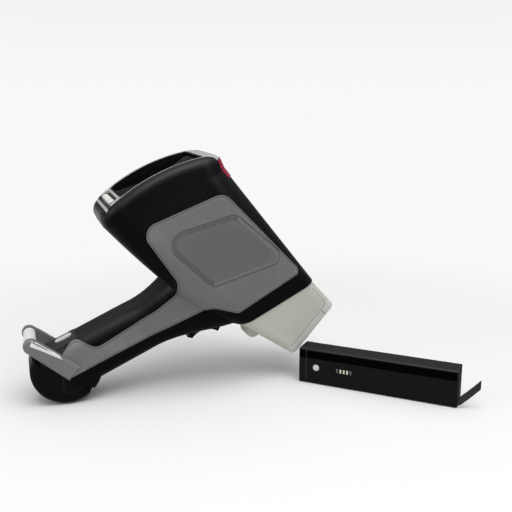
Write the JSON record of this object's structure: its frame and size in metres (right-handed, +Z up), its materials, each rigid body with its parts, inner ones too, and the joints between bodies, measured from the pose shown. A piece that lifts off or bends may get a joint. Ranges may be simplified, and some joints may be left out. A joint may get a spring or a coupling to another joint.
{
  "type": "handheld xrf analyzer",
  "caption": "Pistol-grip X-ray fluorescence analyzer with a rear display, warning light, trigger and hinged round battery door, leaning nose-down on its removed battery pack.",
  "frame": {"origin": "centre of the bounding box's base, on the surface that the analyzer and the pack stand on", "axes": "+Z up; +X from the butt of the grip towards the nose and the pack; +Y to the analyzer's left side, the display facing up and back along -X"},
  "size_m": [0.3648, 0.1868, 0.2076],
  "materials": {
    "aluminium": "machined",
    "bar_pale": "satin moulded",
    "bay_plastic": "satin moulded",
    "bezel_silver": "satin moulded",
    "board_green": "soldermask",
    "boot_rubber": "matt moulded",
    "button_pale": "satin moulded",
    "contact_gold": "plated",
    "film": "thin film",
    "gauge_window": "polished",
    "key_grey": "satin moulded",
    "lens_red": "polished",
    "nose_pale": "satin moulded",
    "pack_black": "satin moulded",
    "panel_grey": "satin moulded",
    "plate_grey": "satin",
    "potting": "potted",
    "screen_glass": "polished",
    "seal_rubber": "matt",
    "shell_black": "satin moulded",
    "steel": "brushed",
    "tab_black": "smooth film ribbon"
  },
  "bodies": {
    "housing": {"right_shell": "shell_black", "left_shell": "shell_black", "housing_screws": "steel", "right_side_panel": "panel_grey", "left_side_panel": "panel_grey", "right_badge_plate": "plate_grey", "left_badge_plate": "plate_grey", "display_bezel": "bezel_silver", "display_glass": "screen_glass", "display_module": "aluminium", "display_gasket": "seal_rubber", "processor_board": "board_green", "key_board": "board_green", "xray_warning_lens": "lens_red", "warning_led_board": "board_green", "nose_housing": "nose_pale", "nose_front_cap": "nose_pale", "nose_gasket": "seal_rubber", "window_frame": "aluminium", "window_film": "film", "window_screws": "steel", "bulkhead": "aluminium", "xray_tube": "steel", "high_voltage_supply": "potting", "xray_detector": "steel", "filter_wheel_motor": "steel", "trigger_pin": "steel", "trigger_spring": "steel", "trigger_switch": "bay_plastic", "battery_bay_liner": "bay_plastic", "battery_bay_contacts": "contact_gold", "grip_back_panel": "boot_rubber", "door_hinge_pin": "steel", "strap_bar": "bar_pale"},
    "trigger": {"trigger": "shell_black"},
    "battery_door": {"battery_door": "boot_rubber"},
    "release_button": {"door_release_button": "button_pale"},
    "power_key": {"power_key": "key_grey"},
    "select_key": {"select_key": "key_grey"},
    "back_key": {"back_key": "key_grey"},
    "filter_wheel": {"filter_wheel": "aluminium"},
    "battery_pack": {"battery_case": "pack_black", "battery_end_cap": "pack_black", "battery_cells": "steel", "battery_gauge_window": "gauge_window", "battery_contact_pads": "contact_gold", "battery_pull_tab": "tab_black"},
    "gauge_button": {"battery_gauge_button": "button_pale"}
  },
  "joints": [
    {"name": "trigger_pull", "type": "hinge", "parent": "housing", "child": "trigger", "pos_m": [-0.01553, 0.04956, 0.06162], "axis": [0, 1, 0], "range_deg": [0, 7], "stiffness_Nm_per_rad": 0.3, "springref_deg": -14.32},
    {"name": "battery_door_hinge", "type": "hinge", "parent": "housing", "child": "battery_door", "pos_m": [-0.13074, 0.04956, 0.00899], "axis": [0, -1, 0], "range_deg": [0, 95]},
    {"name": "door_release_press", "type": "slide", "parent": "housing", "child": "release_button", "axis": [0.4115, 0, -0.9114], "range_m": [0, 0.0009], "stiffness_N_per_m": 800, "springref_m": -0.001},
    {"name": "power_key_press", "type": "slide", "parent": "housing", "child": "power_key", "axis": [0.4115, 0, -0.9114], "range_m": [0, 0.0012], "stiffness_N_per_m": 800, "springref_m": -0.001},
    {"name": "select_key_press", "type": "slide", "parent": "housing", "child": "select_key", "axis": [0.4115, 0, -0.9114], "range_m": [0, 0.0012], "stiffness_N_per_m": 800, "springref_m": -0.001},
    {"name": "back_key_press", "type": "slide", "parent": "housing", "child": "back_key", "axis": [0.4115, 0, -0.9114], "range_m": [0, 0.0012], "stiffness_N_per_m": 800, "springref_m": -0.001},
    {"name": "filter_wheel_turn", "type": "hinge", "parent": "housing", "child": "filter_wheel", "pos_m": [0.04105, 0.04236, 0.05887], "axis": [0.454, 0, -0.891], "continuous": true},
    {"name": "battery_pack_slide", "type": "slide", "parent": "housing", "child": "battery_pack", "axis": [0.7278, -0.6858, 0], "range_m": [0, 0.05]},
    {"name": "gauge_button_press", "type": "slide", "parent": "battery_pack", "child": "gauge_button", "axis": [0.6858, 0.7278, 0], "range_m": [0, 0.0005], "stiffness_N_per_m": 800, "springref_m": -0.001}
  ]
}
